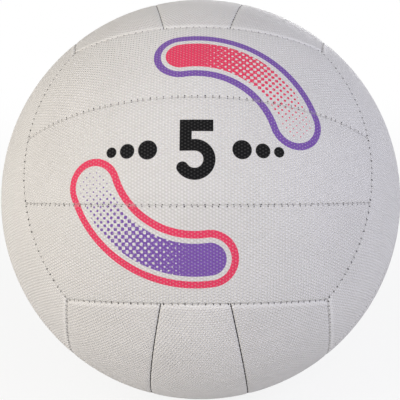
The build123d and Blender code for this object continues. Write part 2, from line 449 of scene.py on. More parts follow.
def over_edge(inside, fall):
    """Depth of a rolled edge: a parabola that steepens from the edge's width in to the edge itself."""
    return fall * np.clip(1 - inside / EDGE_WIDTH, 0, 1) ** 2


def seam_depth(inside, stitches, fall, hole):
    """Depth of the skin beside a seam: the rolled edge, a slow draw-in, and a dent round each needle hole.

    The draw-in fades with the distance inside the edge, and the dents with the distance from their hole.
    """
    inside = np.maximum(inside, 0)
    draw_in = DRAW_IN * np.exp(-inside / DRAW_REACH)
    off_hole = (stitches % 1 - HOLE_AT) * STITCH_PITCH
    dent = DENT * np.exp(-((off_hole / DENT_LENGTH) ** 2) - ((inside - hole) / DENT_WIDTH) ** 2)
    return over_edge(inside, fall) + draw_in + dent


# The inside of a panel has every fourth row of the outside, so the rolled rows and the next make two
# fours. That next row and the first even one lie so many grid steps past the rolled edge.
COARSE = 4
ROLLED_ROWS = 2 * COARSE - 1
GRID_STEP = 0.65
FIRST_STEP = 0.5
EVEN_START = 1.2


def edge_rows(length):
    """Shares of a length: close together over the rolled edges at both ends, and even between them.

    Over an edge they lie at one less the cosine of an even turn, so that they crowd at the very edge.
    """
    rolled = EDGE_WIDTH * (1 - np.cos(np.linspace(0, np.pi / 2, ROLLED_ROWS)))
    near = np.append(rolled, EDGE_WIDTH + GRID_STEP * FIRST_STEP)
    first_even = EDGE_WIDTH + GRID_STEP * EVEN_START
    even = 2 * COARSE * round((length - 2 * first_even) / GRID_STEP / (2 * COARSE))
    between = np.linspace(first_even, length - first_even, even + 1)
    return np.concatenate([near, between, length - near[::-1]]) / length


def panel_rows(middle):
    """Shares of the run along a panel and of the rise across it, from its length and width."""
    if middle:
        length, width = 2 * BALL_RADIUS * end_edge(0, 0), 2 * BALL_RADIUS * STRIP_HALF
    else:
        length, width = 2 * END_RADIUS * END_SEAM_HALF, BALL_RADIUS * (FACE_HALF - STRIP_HALF)
    return edge_rows(length), edge_rows(width)


def with_walls(rows):
    """The same rows with the first and the last doubled, for the walls that go down into the seam."""
    return np.concatenate([rows[:1], rows, rows[-1:]])


def sheet_numbers(shape, first):
    """Point numbers of a grid whose outer ring is the walls' foot. A corner's three points are one."""
    numbers = first + np.arange(np.prod(shape)).reshape(shape)
    for row, beside_row in ((0, 1), (-1, -2)):
        for column, beside_column in ((0, 1), (-1, -2)):
            numbers[row, column] = numbers[row, beside_column] = numbers[beside_row, column]
    return numbers


def walls_foot(numbers):
    """The outer ring of a grid with walls, in order from the corner at its first row and column."""
    return np.concatenate(
        [numbers[1:-2, 0], numbers[-1, 1:-2], numbers[-2:1:-1, -1], numbers[0, -2:1:-1]]
    )


def sheet_quads(numbers, opening):
    """Faces of a grid with walls, less the four empty corners and, with an opening, its block of faces."""
    kept = np.ones((numbers.shape[0] - 1, numbers.shape[1] - 1), bool)
    kept[[0, 0, -1, -1], [0, -1, 0, -1]] = False
    if opening:
        kept[opening] = False
    quads = [numbers[:-1, :-1], numbers[1:, :-1], numbers[1:, 1:], numbers[:-1, 1:]]
    return np.stack(quads, axis=-1)[kept]


def ring_quads(outer, inner):
    """Faces between two rings of as many points each."""
    return np.column_stack([outer, np.roll(outer, -1), np.roll(inner, -1), inner])


def ring_steps(fine, coarse):
    """Faces between a fine ring and a coarse one, each over several points of the fine ring."""
    start = COARSE * np.arange(len(coarse))
    spans = fine[(start[:, None] + np.arange(COARSE + 1)) % len(fine)]
    return np.column_stack([spans, np.roll(coarse, -1), coarse])


VALVE_FACE = "top"
VALVE_HOLE = 5.2
VALVE_HOLE_FALL = 0.45
OPENING_BLOCK = 16
OPENING_SHARES = np.array([0.25, 0.5, 0.7, 0.82, 0.9, 0.95, 0.975, 0.99, 0.997, 1.0])
INNER_OPENING_SHARES = np.array([0.5, 1.0])


def middle_block(numbers, half):
    """A square block of faces in the middle of a grid, as slices, and the ring of points round it."""
    row, column = numbers.shape[0] // 2, numbers.shape[1] // 2
    low_row, high_row = row - half, row + half
    low_column, high_column = column - half, column + half
    ring = [
        numbers[low_row:high_row, low_column],
        numbers[high_row, low_column:high_column],
        numbers[high_row:low_row:-1, high_column],
        numbers[low_row, high_column:low_column:-1],
    ]
    return (slice(low_row, high_row), slice(low_column, high_column)), np.concatenate(ring)


def opening_rings(block_ring, shares):
    """Rings of directions from a block's ring in to the round valve hole, and distances from its edge.

    Seen along the valve's axis, each ring is a share of the way from the block to the hole's circle.
    """
    block = BALL_RADIUS * block_ring[None, :, :2]
    circle = VALVE_HOLE * block / np.linalg.norm(block, axis=-1, keepdims=True)
    flat = block + (circle - block) * shares[:, None, None]
    height = np.sqrt(BALL_RADIUS**2 - (flat**2).sum(-1, keepdims=True))
    from_edge = np.linalg.norm(flat, axis=-1) - VALVE_HOLE
    return np.concatenate([flat, height], axis=-1) / BALL_RADIUS, from_edge


SKIN = 1.25
TRAY_DEPTH = 2.8
Sheet = namedtuple("Sheet", "directions radii faces foot hole_edge")


def sheet_radii(direction, banks, middle, outside):
    """Radii over one side of a panel: the ball's, less the drops at all its seams or else one skin.

    The outer ring, which is the foot of the walls, lies at the depth of the tray that holds the backing.
    """
    depth = np.full(direction.shape[:2], SKIN)
    if outside:
        drops = [
            seam_depth(inside - seam.gap, stitches, seam.fall, hole)
            for (inside, stitches), (seam, hole) in zip(seam_places(direction, middle), banks)
        ]
        depth = np.sum(drops, axis=0)
    depth[[0, -1]] = TRAY_DEPTH
    depth[:, [0, -1]] = TRAY_DEPTH
    return BALL_RADIUS - depth


def panel_sheet(banks, middle, with_valve, outside, first):
    """One side of a panel with its walls, its point numbers counted on from the first.

    The outside is a fine grid, and the inside a coarser one that is one skin in from the walls. For the
    valve, rings of points lead from a block in the grid's middle to the round hole.
    """
    step, inset = (1, 0.0) if outside else (COARSE, SKIN)
    run, rise = (with_walls(rows[::step]) for rows in panel_rows(middle))
    direction = panel_directions(banks, middle, inset, run, rise)
    radius = sheet_radii(direction, banks, middle, outside)
    numbers = sheet_numbers(radius.shape, first)
    directions, radii, faces = [direction.reshape(-1, 3)], [radius.ravel()], []
    opening, hole_edge = None, None
    if with_valve:
        opening, block_ring = middle_block(numbers, OPENING_BLOCK // step)
        shares = OPENING_SHARES if outside else INNER_OPENING_SHARES
        ring_directions, from_edge = opening_rings(directions[0][block_ring - first], shares)
        depth = over_edge(from_edge, VALVE_HOLE_FALL) if outside else np.full(from_edge.shape, SKIN)
        rings = first + radius.size + np.arange(from_edge.size).reshape(from_edge.shape)
        directions.append(ring_directions.reshape(-1, 3))
        radii.append((BALL_RADIUS - depth).ravel())
        faces = [ring_quads(outer, inner) for outer, inner in zip([block_ring, *rings], rings)]
        hole_edge = rings[-1]
    faces.append(sheet_quads(numbers, opening))
    foot = walls_foot(numbers)
    return Sheet(np.concatenate(directions), np.concatenate(radii), faces, foot, hole_edge)


def panel_shell(banks, middle, with_valve):
    """Closed shell of one panel in its face's frame: directions, radii and faces.

    Narrow strips of faces join its two sides, at the foot of the walls and at the edge of the valve hole.
    """
    outer = panel_sheet(banks, middle, with_valve, True, 0)
    inner = panel_sheet(banks, middle, with_valve, False, len(outer.radii))
    faces = outer.faces + [block[:, ::-1] for block in inner.faces]
    faces.append(ring_steps(outer.foot, inner.foot)[:, ::-1])
    if with_valve:
        faces.append(ring_steps(outer.hole_edge, inner.hole_edge))
    directions = np.concatenate([outer.directions, inner.directions])
    return directions, np.concatenate([outer.radii, inner.radii]), faces


def make_piece(name, points, faces, finish, attributes):
    """A smooth mesh from points in millimetres and arrays of faces, each of one number of corners."""
    corners = np.concatenate([block.ravel() for block in faces])
    counts = np.concatenate([np.full(len(block), block.shape[1]) for block in faces])
    used, corners = np.unique(corners, return_inverse=True)
    starts = np.concatenate([[0], np.cumsum(counts)[:-1]])
    mesh = bpy.data.meshes.new(name)
    mesh.vertices.add(len(used))
    mesh.vertices.foreach_set("co", (points[used] * MILLIMETRE).astype(np.float32).ravel())
    mesh.loops.add(len(corners))
    mesh.loops.foreach_set("vertex_index", corners.ravel().astype(np.int32))
    mesh.polygons.add(len(counts))
    mesh.polygons.foreach_set("loop_start", starts.astype(np.int32))
    mesh.polygons.foreach_set("use_smooth", np.ones(len(counts), bool))
    for key, values in attributes.items():
        layer = mesh.attributes.new(key, "FLOAT_VECTOR", "POINT")
        layer.data.foreach_set("vector", values[used].astype(np.float32).ravel())
    mesh.update(calc_edges=True)
    mesh.validate()
    mesh.materials.append(finish)
    piece = bpy.data.objects.new(name, mesh)
    bpy.context.scene.collection.objects.link(piece)
    return piece


PIMPLE_PITCH = 1.68
PIMPLE_HEIGHT = 0.42
PIMPLE_SLOPE = (-1.2, 2.4)


def pimples(x, y):
    """Round pimples in staggered rows, from 0 to 1: three waves at sixty degrees to each other, added."""
    turn = 4 * np.pi / np.sqrt(3) / PIMPLE_PITCH
    waves = [
        (x * (turn * np.cos(lean)) + y * (turn * np.sin(lean))).cosine()
        for lean in np.radians([0, 60, 120])
    ]
    return (waves[0] + waves[1] + waves[2]).ease(*PIMPLE_SLOPE)


def arc_band(u, v, radius, middle, half_span):
    """Distance from an arc about the origin, and the share of the way along it, from -1 to 1.

    The place is turned so that the arc's middle lies on u, and its angle is kept to the arc's span.
    """
    turned_u = u * np.cos(middle) + v * np.sin(middle)
    turned_v = v * np.cos(middle) - u * np.sin(middle)
    angle = u.math("ARCTAN2", turned_v, turned_u).most(-half_span).least(half_span)
    gap = (turned_u - angle.cosine() * radius).hypot(turned_v - angle.sine() * radius)
    return gap, angle * (1 / half_span)


def box_gap(u, v, left, right, low, high):
    """Distance outside an upright box, the greater of its two directions."""
    beside = abs(u - (left + right) / 2) - (right - left) / 2
    above = abs(v - (low + high) / 2) - (high - low) / 2
    return beside.most(above)


PRINTED_FACE = "front"
PRINT_PINK = ink(223, 61, 95)
PRINT_PURPLE = ink(118, 82, 161)
PRINT_BLACK = ink(4, 4, 5)
SOFT_EDGE = 0.12

# Each band: its turn about the face's middle, and the colours of its outline and its fill.
BANDS = [
    (np.radians(58), PRINT_PURPLE, PRINT_PINK),
    (np.radians(238), PRINT_PINK, PRINT_PURPLE),
]
BAND_RADIUS = 52.0
BAND_HALF_SPAN = np.radians(40)
BAND_FILL = 8.0
BAND_LINE = 12.2
BAND_LINE_HALF = 1.8
HALFTONE_PITCH = 2.6
HALFTONE_LEVEL = 0.62
HALFTONE_SLOPE = 0.55
HALFTONE_SOFT = 0.05

# The figure five: the left, right, low and high of its bar, stem and foot, and the arc of its bowl.
FIVE_STROKES = [(-7.0, 8.6, 8.4, 14.2), (-7.0, -1.4, -1.0, 14.2), (-7.0, 0.0, -1.0, 4.6)]
FIVE_BOWL_DROP = 5.0
FIVE_BOWL_RADIUS = 6.8
FIVE_BOWL_HALF_WIDTH = 2.8
FIVE_BOWL_MIDDLE = np.radians(-28)
FIVE_BOWL_HALF_SPAN = np.radians(118)

# The dots on either side of the figure: how far out they lie, and their radius.
SIZE_DOTS = [(22.0, 4.6), (32.0, 3.6), (40.0, 2.6)]

# Ink wears beside the seams and is thin on the tops of the pimples, partly worn and partly a painted
# highlight where the tops catch the light. Black is laid on more thickly.
WORN_EDGE = (1.2, 2.6)
WORN_UNEVEN = 2.4
WORN_SHARE = 0.25
THIN_TOPS = (0.5, 1.0)
THIN_LEAST = 0.05
THIN_UNEVEN = 0.3
BLACK_THIN = 0.2


def screen_print(start, place, colour, grip, fine, nearest):
    """The front's print: two ring bands with a halftone fill, and the size number between rows of dots.

    Places are millimetres from the face's middle, measured over the ball: u along the strips and v up.
    The halftone is two crossed waves, inked up to a level that rises along the band.
    """
    right, up, out = face_axes(PRINTED_FACE)
    unit = start.node("VectorMath", {"operation": "NORMALIZE"}, {0: place})
    x, y = unit.along(right), unit.along(up)
    stretch = start.math("ARCCOSINE", unit.along(out)) * BALL_RADIUS / x.hypot(y)
    u, v = x * stretch, y * stretch
    kept = (nearest + fine * WORN_UNEVEN).ease(*WORN_EDGE) * WORN_SHARE + (1 - WORN_SHARE)
    # Thin ink on the pimple tops: partly wear, partly a painted highlight.
    thin_ink_and_highlight = grip.ease(*THIN_TOPS) * (fine * THIN_UNEVEN + THIN_LEAST)

    turn = 2 * np.pi / HALFTONE_PITCH / np.sqrt(2)
    screen = (((u + v) * turn).cosine() + ((u - v) * turn).cosine()) * 0.25 + 0.5
    covered = kept * (1 - thin_ink_and_highlight)
    for middle, line, fill in BANDS:
        gap, share = arc_band(u, v, BAND_RADIUS, middle, BAND_HALF_SPAN)
        outline = abs(gap - BAND_LINE).ease(BAND_LINE_HALF + SOFT_EDGE, BAND_LINE_HALF - SOFT_EDGE)
        level = share * HALFTONE_SLOPE + HALFTONE_LEVEL
        dots = (screen - level).ease(HALFTONE_SOFT, -HALFTONE_SOFT)
        inside = gap.ease(BAND_FILL + SOFT_EDGE, BAND_FILL - SOFT_EDGE)
        colour = (outline * covered).blend(colour, line)
        colour = (inside * dots * covered).blend(colour, fill)

    gaps = [box_gap(u, v, *stroke) for stroke in FIVE_STROKES]
    bowl, _ = arc_band(u, v + FIVE_BOWL_DROP, FIVE_BOWL_RADIUS, FIVE_BOWL_MIDDLE, FIVE_BOWL_HALF_SPAN)
    gaps.append(bowl - FIVE_BOWL_HALF_WIDTH)
    gaps += [(abs(u) - dot_place).hypot(v) - dot_radius for dot_place, dot_radius in SIZE_DOTS]
    figure = reduce(Wire.least, gaps).ease(SOFT_EDGE, -SOFT_EDGE)
    covered = kept * (1 - thin_ink_and_highlight * BLACK_THIN)
    return (figure * covered).blend(colour, PRINT_BLACK)


# Painted shade for the needle holes, where the pits go dark.
HOLE_PAINTED_SHADE = ink(40, 37, 38)
HOLE_RIM = (1.4, 0.6)
HOLE_ACROSS = 0.75
HOLE_LUMPS = 110.0
HOLE_PULL = (0.3, 0.6)
HOLE_LEAST_OPEN = 0.65


def needle_holes(start, place, colour, seams):
    """The colour with painted shade for a dark hole at either end of each stitch, some pulled less open
    and paler.

    Each is an ellipse with a soft rim, longer across the seam than along it.
    """
    pull = place.speckle(HOLE_LUMPS, detail=1.0).ease(*HOLE_PULL)
    open_share = pull * (1 - HOLE_LEAST_OPEN) + HOLE_LEAST_OPEN
    for (stitches, inside, hole_inside), hole_radius in seams:
        off_hole = (start.math("FRACT", stitches) - HOLE_AT) * STITCH_PITCH
        hole = off_hole.hypot((inside - hole_inside) * HOLE_ACROSS) / hole_radius
        colour = (hole.ease(*HOLE_RIM) * open_share).blend(colour, HOLE_PAINTED_SHADE)
    return colour


COVER_WHITE = ink(226, 224, 221)
# Painted shade, with some dirt, in the hollows between the pimples: the grey that the hollows turn
# towards.
HOLLOW_SHADE_AND_DIRT_GREY = ink(188, 185, 181)
HOLLOW_SHADE = 0.5
# How much paler the pulled band is painted: a painted highlight where the rolled strip ends catch the
# light.
PULLED_PAINTED_HIGHLIGHT = 0.25
BLOTCH_SHADE = 0.1
TONE_SHADE = 0.1
BLOTCH_LUMPS = 30.0
BLOTCH_EDGE = (0.35, 0.75)
FINE_LUMPS = 900.0
FINE_HEIGHT = 0.2
PULLED_FROM = (0.3, 1.2)
PULLED_TO = (3.4, 1.8)
# Painted shade, with some dirt, in the crease of each seam: a grey that deepens towards the seam edge.
CREASE_SHADE_AND_DIRT_GREY = ink(120, 114, 110)
SEAM_GREY_EDGE = (0.35, 0.0)
SEAM_GREY_LEAST = 0.1
SEAM_GREY_UNEVEN = 0.3
COVER_ROUGHNESS = 0.62
TOP_POLISH = 0.06
COVER_SHINE = 0.12


def attribute(start, key):
    """The three numbers that a piece's own attribute holds at each place."""
    vector = start.node("Attribute", {"attribute_name": key}, {}, "Vector")
    return [vector.along(axis) for axis in np.eye(3).tolist()]


def cover_finish(name, printed):
    """Grip rubber: white pimples with painted shade and some dirt in the hollows between them, painted
    shade in the crease of the seams, faint unevenness, and needle holes darkened with painted shade.

    In a narrow band inside the ends of the strips, the pull of the seam flattens the pimples, and the band
    is painted paler as a highlight where the rolled edge catches the light.
    """
    material, start, place = new_finish(name)
    grain_x, grain_y, tone = attribute(start, "grain")
    side_seam = attribute(start, "side_seam")
    end_seam = attribute(start, "end_seam")
    side_hole_radius, end_hole_radius, smooth = attribute(start, "sewing")
    _, side_inside, _ = side_seam
    _, end_inside, _ = end_seam
    nearest = side_inside.least(end_inside)

    # The pulled band: flatter pimples, and a painted highlight where the rolled ends catch the light.
    pulled = end_inside.ease(*PULLED_FROM) * end_inside.ease(*PULLED_TO) * smooth
    grip = (pimples(grain_x, grain_y) - 0.5) * (1 - pulled) + 0.5
    fine = place.speckle(FINE_LUMPS)
    blotch = place.speckle(BLOTCH_LUMPS, detail=3.0).ease(*BLOTCH_EDGE)
    # Painted shade and some dirt in the hollows, a painted highlight on the pulled band, blotches and the
    # panel's tone.
    shade = (1 - grip) * HOLLOW_SHADE - pulled * PULLED_PAINTED_HIGHLIGHT + blotch * BLOTCH_SHADE + tone * TONE_SHADE
    colour = shade.blend(COVER_WHITE, HOLLOW_SHADE_AND_DIRT_GREY)
    if printed:
        colour = screen_print(start, place, colour, grip, fine, nearest)
    # Painted shade, with some dirt, on the rolled edges down in the seam's crease.
    crease_shade_and_dirt = nearest.ease(*SEAM_GREY_EDGE) * (fine * SEAM_GREY_UNEVEN + SEAM_GREY_LEAST)
    colour = crease_shade_and_dirt.blend(colour, CREASE_SHADE_AND_DIRT_GREY)
    seams = [(side_seam, side_hole_radius), (end_seam, end_hole_radius)]
    colour = needle_holes(start, place, colour, seams)
    roughness = COVER_ROUGHNESS - grip * TOP_POLISH
    surface(start, colour, roughness, COVER_SHINE, grip + fine * FINE_HEIGHT, PIMPLE_HEIGHT)
    return material


def panel_marks(direction, banks, middle, tone):
    """Attributes for the finish at each point of a panel.

    The grain is the millimetres along and across from the panel's middle, and the panel's tone. The nearer
    side and the nearer end each give the stitches along it, the millimetres inside it and the place of its
    holes. The sewing is the radius of these holes' painted shade at both, and how smooth the ends are
    pulled, which also sets the highlight painted on them.
    """
    even = np.ones(len(direction))
    centre = 0 if middle else (STRIP_HALF + FACE_HALF) / 2
    along = np.arcsin(np.clip(direction[:, 0], -1, 1))
    across = np.arctan2(direction[:, 1], direction[:, 2]) - centre
    grain = BALL_RADIUS * np.column_stack([along, across * np.cos(along)])
    marks = {"grain": np.column_stack([grain, tone * even])}

    places = [
        (*place, hole * even, seam.hole_radius * even)
        for place, (seam, hole) in zip(seam_places(direction, middle), banks)
    ]
    sewing = []
    for key, (first, second) in (("side_seam", places[:2]), ("end_seam", places[2:])):
        inside, stitches, hole, hole_radius = np.where(first[0] < second[0], first, second)
        marks[key] = np.column_stack([stitches, inside, hole])
        sewing.append(hole_radius)
    ends, _ = banks[-1]
    marks["sewing"] = np.column_stack([*sewing, ends.smooth * even])
    return marks


# The panels' tones are even steps, taken in a scattered order.
PANEL_COUNT = 18
TONE_STEP = 7
panel_tones = iter(np.arange(PANEL_COUNT) * TONE_STEP % PANEL_COUNT / PANEL_COUNT)
plain_cover = cover_finish("grip_rubber", False)
printed_cover = cover_finish("grip_rubber_printed", True)
for face, layout in FACES.items():
    for strip_name, strip_turn in zip(layout.strips, (1, 0, -1)):
        middle = strip_turn == 0
        banks = seam_banks(face, strip_name)
        direction, radius, faces = panel_shell(banks, middle, middle and face == VALVE_FACE)
        marks = panel_marks(direction, banks, middle, next(panel_tones))
        # The last strip is made like the first, and turned half round about the face's outward axis.
        turn = np.diag([-1, -1, 1]) if strip_turn < 0 else np.eye(3)
        points = direction * radius[:, None] @ turn @ face_axes(face)
        finish = printed_cover if face == PRINTED_FACE else plain_cover
        panel = make_piece(f"panel_{face}_{strip_name}", points, faces, finish, marks)
        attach(panel, "ball")
        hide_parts(f"cover_{face}_{strip_name}")


# Stitches
# Bonded polyester thread, lockstitched by machine through both turned edges. Each stitch comes out of a
# needle hole in either rolled edge and dives into the crease between them, over a thread that runs below.

THREAD_RADIUS = 0.15
THREAD_SIDES = 5
THREAD_DARK = ink(30, 28, 30)
THREAD_PALE = ink(66, 62, 63)
THREAD_ROUGHNESS = 0.55
THREAD_SHINE = 0.4
PLY_LUMPS = 3500.0
PLY_HEIGHT = 0.05
STITCH_REACH = 1.05
STITCH_POINTS = 11
STITCH_RISE = 0.05
STITCH_UNEVEN = 0.05
UNEVEN_TURN = 1.7
STITCH_BEND = 5.0
DEEPEST = 1.4
RUNNING_DEPTH = 1.5
RUNNING_POINTS = 4
COUNT_STEPS = 40


def thread_finish():
    """Dark bonded thread, with the small unevenness of its twisted plies."""
    material, start, place = new_finish("bonded_thread")
    ply = place.speckle(PLY_LUMPS, detail=1.0)
    surface(start, ply.blend(THREAD_DARK, THREAD_PALE), THREAD_ROUGHNESS, THREAD_SHINE, ply, PLY_HEIGHT)
    return material


def tube(centre, side, lift, radius, first):
    """Points and faces of tubes along rows of centres, with a circle spanned by a side and a lift at each.

    The first axis holds the tubes. Both ends of each are closed.
    """
    turn = np.linspace(0, 2 * np.pi, THREAD_SIDES, endpoint=False)[:, None]
    points = centre[..., None, :] + radius * (
        np.cos(turn) * side[..., None, :] + np.sin(turn) * lift[..., None, :]
    )
    numbers = first + np.arange(np.prod(points.shape[:-1])).reshape(points.shape[:-1])
    here, there = numbers[:, :-1], numbers[:, 1:]
    quads = np.stack([here, np.roll(here, -1, -1), np.roll(there, -1, -1), there], axis=-1)
    caps = np.concatenate([numbers[:, 0, ::-1], numbers[:, -1]])
    return points.reshape(-1, 3), [quads.reshape(-1, 4), caps]


def strip_seam_line(side, length_share):
    """Outward, along and across directions on the seam between strips, at shares of its half length.

    The seam is a great circle: its middle and the axis along, weighed by a cosine and a sine.
    """
    turn = length_share[:, None] * STRIP_SEAM_HALF
    middle = np.array([0, side * np.sin(STRIP_HALF), np.cos(STRIP_HALF)])
    outward = np.cos(turn) * middle + np.sin(turn) * ALONG
    ahead = np.cos(turn) * ALONG - np.sin(turn) * middle
    return outward, ahead, np.cross(outward, ahead)


def end_seam_line(end, length_share):
    """Outward, along and across directions on the seam at one end of the strips, a circle on its cone."""
    turn = length_share[:, None] * END_SEAM_HALF
    axis, towards = end_cone(end)
    from_axis = np.cos(turn) * towards + np.sin(turn) * ACROSS
    outward = np.cos(CONE_HALF) * axis + np.sin(CONE_HALF) * from_axis
    ahead = np.cos(turn) * ACROSS - np.sin(turn) * towards
    return outward, ahead, np.cross(outward, ahead)


def sew(seam_line, side, stitch_count, seam, first):
    """A seam's stitches and the thread that runs under them.

    Each stitch is a short tube across the seam. It rises out of the skin at its two needle holes and falls
    away from them by the square of the distance, so it is under the skin in the crease and at its ends.
    """
    half = stitch_count / 2
    count = np.linspace(-half, half, COUNT_STEPS * stitch_count)
    centres = np.interp(np.arange(-half, half) + HOLE_AT, drifted(count), count / half)
    outward, ahead, across = (vectors[:, None] for vectors in seam_line(side, centres))
    off_seam = np.linspace(-STITCH_REACH, STITCH_REACH, STITCH_POINTS)
    hole = np.where(off_seam * side > 0, seam.first_hole, seam.second_hole)
    inside = np.abs(off_seam) - seam.gap
    rise = STITCH_RISE + STITCH_UNEVEN * np.sin(UNEVEN_TURN * np.arange(stitch_count))[:, None]
    skin = seam_depth(inside, HOLE_AT, seam.fall, hole)
    height = np.maximum(rise - skin - STITCH_BEND * (inside - hole) ** 2, -DEEPEST)
    slope = np.gradient(height, off_seam, axis=1)
    lean = np.hypot(slope, 1)
    centre = (BALL_RADIUS + height[..., None]) * outward + off_seam[:, None] * across
    lift = (outward - slope[..., None] * across) / lean[..., None]
    side_way = np.broadcast_to(-ahead, centre.shape)
    stitch_points, stitch_faces = tube(centre, side_way, lift, THREAD_RADIUS, first)

    run = np.linspace(-1, 1, RUNNING_POINTS * stitch_count) * (1 - 1 / stitch_count)
    outward, _, across = (vectors[None] for vectors in seam_line(side, run))
    centre = (BALL_RADIUS - RUNNING_DEPTH) * outward
    first_running = first + len(stitch_points)
    running_points, running_faces = tube(centre, across, outward, THREAD_RADIUS, first_running)
    return np.concatenate([stitch_points, running_points]), stitch_faces + running_faces


thread = thread_finish()
for face, layout in FACES.items():
    strip_lines = [(strip_seam_line, side, STRIP_STITCHES, STRIP_SEAMS[face]) for side in (1, -1)]
    seams = {f"{face}_strips": strip_lines}
    for end_face, end in zip(layout.end_faces, (1, -1)):
        seams[f"{face}_{end_face}"] = [(end_seam_line, end, END_STITCHES, END_SEAMS[face])]
    for seam_name, lines in seams.items():
        points, faces = np.empty((0, 3)), []
        for line in lines:
            more_points, more_faces = sew(*line, len(points))
            points = np.concatenate([points, more_points])
            faces += more_faces
        stitches = make_piece(f"stitches_{seam_name}", points @ face_axes(face), faces, thread, {})
        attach(stitches, "ball")
        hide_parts(f"thread_{seam_name}")


# Valve boot
# A moulded rubber boot: a thick sleeve inside the bladder, a flange glued onto it, and a collar that comes
# up through the panel's hole. Its corners are rounded as a mould leaves them.

CORE_RADIUS = 2.8
CORE_CLEARANCE = 0.05
HEAD_RADIUS = 3.7
HEAD_THICKNESS = 1.8
COLLAR_RECESS = 0.5
COLLAR_WALL = 1.3
BOOT_WALL = 4.0
BOOT_DEPTH = 16.6
FLANGE_RIM = 8.0
FLANGE_TOP_DEPTH = 1.35
FLANGE_UNDER_DEPTH = 3.0

VALVE_TOP = BALL_RADIUS - COLLAR_RECESS
BORE_RADIUS = CORE_RADIUS + CORE_CLEARANCE
SEAT_RADIUS = HEAD_RADIUS + CORE_CLEARANCE
SEAT = VALVE_TOP - HEAD_THICKNESS - CORE_CLEARANCE
COLLAR_RADIUS = SEAT_RADIUS + COLLAR_WALL
BOOT_RADIUS = BORE_RADIUS + BOOT_WALL
BOOT_FOOT = VALVE_TOP - BOOT_DEPTH
FLANGE_RADIUS = BOOT_RADIUS + FLANGE_RIM
FLANGE_TOP = BALL_RADIUS - FLANGE_TOP_DEPTH
FLANGE_UNDER = BALL_RADIUS - FLANGE_UNDER_DEPTH

BOOT_GREY = ink(186, 184, 182)
BOOT_DUST = ink(216, 214, 211)
BOOT_DUST_SHARE = 0.5
BEND_POINTS = 6
TURN_STEPS = 96


def rounded(corners):
    """Closed profile from corners, each with its rounding last: cut back by it and bridged by a parabola.

    The parabola weighs the two ends of the cut by the squares of two shares that add up to one, and the
    corner by twice their product.
    """
    corners = np.array(corners, float)
    place, rounding = corners[:, :-1], corners[:, -1:]
    before = np.roll(place, 1, 0) - place
    after = np.roll(place, -1, 0) - place
    start = place + before / np.linalg.norm(before, axis=1, keepdims=True) * rounding
    end = place + after / np.linalg.norm(after, axis=1, keepdims=True) * rounding
    share = np.linspace(0, 1, BEND_POINTS)[None, :, None]
    rest = 1 - share
    bend = rest**2 * start[:, None] + 2 * share * rest * place[:, None] + share**2 * end[:, None]
    return bend.reshape(-1, place.shape[1])


def turned(reach_x, reach_y, height):
    """Points and faces of a closed profile carried round the valve's axis, on circles or on ellipses."""
    turn = np.linspace(0, 2 * np.pi, TURN_STEPS, endpoint=False)
    x = np.outer(reach_x, np.cos(turn))
    y = np.outer(reach_y, np.sin(turn))
    z = np.outer(height, np.ones(TURN_STEPS))
    here = np.arange(x.size).reshape(x.shape)
    there = np.roll(here, -1, 0)
    quads = np.stack([here, np.roll(here, -1, 1), np.roll(there, -1, 1), there], axis=-1)
    points = np.stack([x, y, z], axis=-1).reshape(-1, 3)
    return points @ face_axes(VALVE_FACE), [quads.reshape(-1, 4)]


def on_ball(radius, ball):
    """Height of a point at this radius from the valve's axis on a ball of that radius."""
    return np.sqrt(ball**2 - radius**2)


# Each corner: its distance from the valve's axis, its height and its rounding.
boot_radius, boot_height = rounded(
    [
        (BORE_RADIUS, BOOT_FOOT, 0.3),
        (BOOT_RADIUS, BOOT_FOOT, 0.8),
        (BOOT_RADIUS, on_ball(BOOT_RADIUS, FLANGE_UNDER), 0.4),
        (FLANGE_RADIUS, on_ball(FLANGE_RADIUS, FLANGE_UNDER), 0.3),
        (FLANGE_RADIUS, on_ball(FLANGE_RADIUS, FLANGE_TOP), 0.3),
        (COLLAR_RADIUS, on_ball(COLLAR_RADIUS, FLANGE_TOP), 0.2),
        (COLLAR_RADIUS, VALVE_TOP, 0.4),
        (SEAT_RADIUS, VALVE_TOP, 0.35),
        (SEAT_RADIUS, SEAT, 0.1),
        (BORE_RADIUS, SEAT, 0.1),
    ]
).T
boot_points, boot_faces = turned(boot_radius, boot_radius, boot_height)
boot_rubber = rubber_finish("boot_rubber", BOOT_GREY, BOOT_DUST, BOOT_DUST_SHARE)
valve_boot = make_piece("boot", boot_points, boot_faces, boot_rubber, {})
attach(valve_boot, "ball")
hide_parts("valve_boot")


# Valve core
# A plug of softer rubber, pushed down the boot until its head seats. The needle goes in at the head's
# funnel and opens the slit at the tip. It pulls out for replacement.

CORE_LENGTH = 17.0
TIP_CHAMFER = 1.0
CHANNEL_RADIUS = 1.1
CHANNEL_DEPTH = 10.0
FUNNEL_RIM = 1.0
FUNNEL_LIP = 0.6
FUNNEL_LIP_DEPTH = 0.15
FUNNEL_DEPTH = 0.75
SLIT_HALF_WIDTH = 0.075
SLIT_HALF_LENGTH = 1.5
SLIT_ROUNDING = 0.03
SLIT_TOP_SHARE = 0.9
CORE_TIP = VALVE_TOP - CORE_LENGTH
CORE_SHOULDER = VALVE_TOP - HEAD_THICKNESS
CHANNEL_FOOT = VALVE_TOP - CHANNEL_DEPTH

CORE_GREY = ink(52, 50, 51)
CORE_DUST = ink(110, 107, 105)
CORE_DUST_SHARE = 0.2

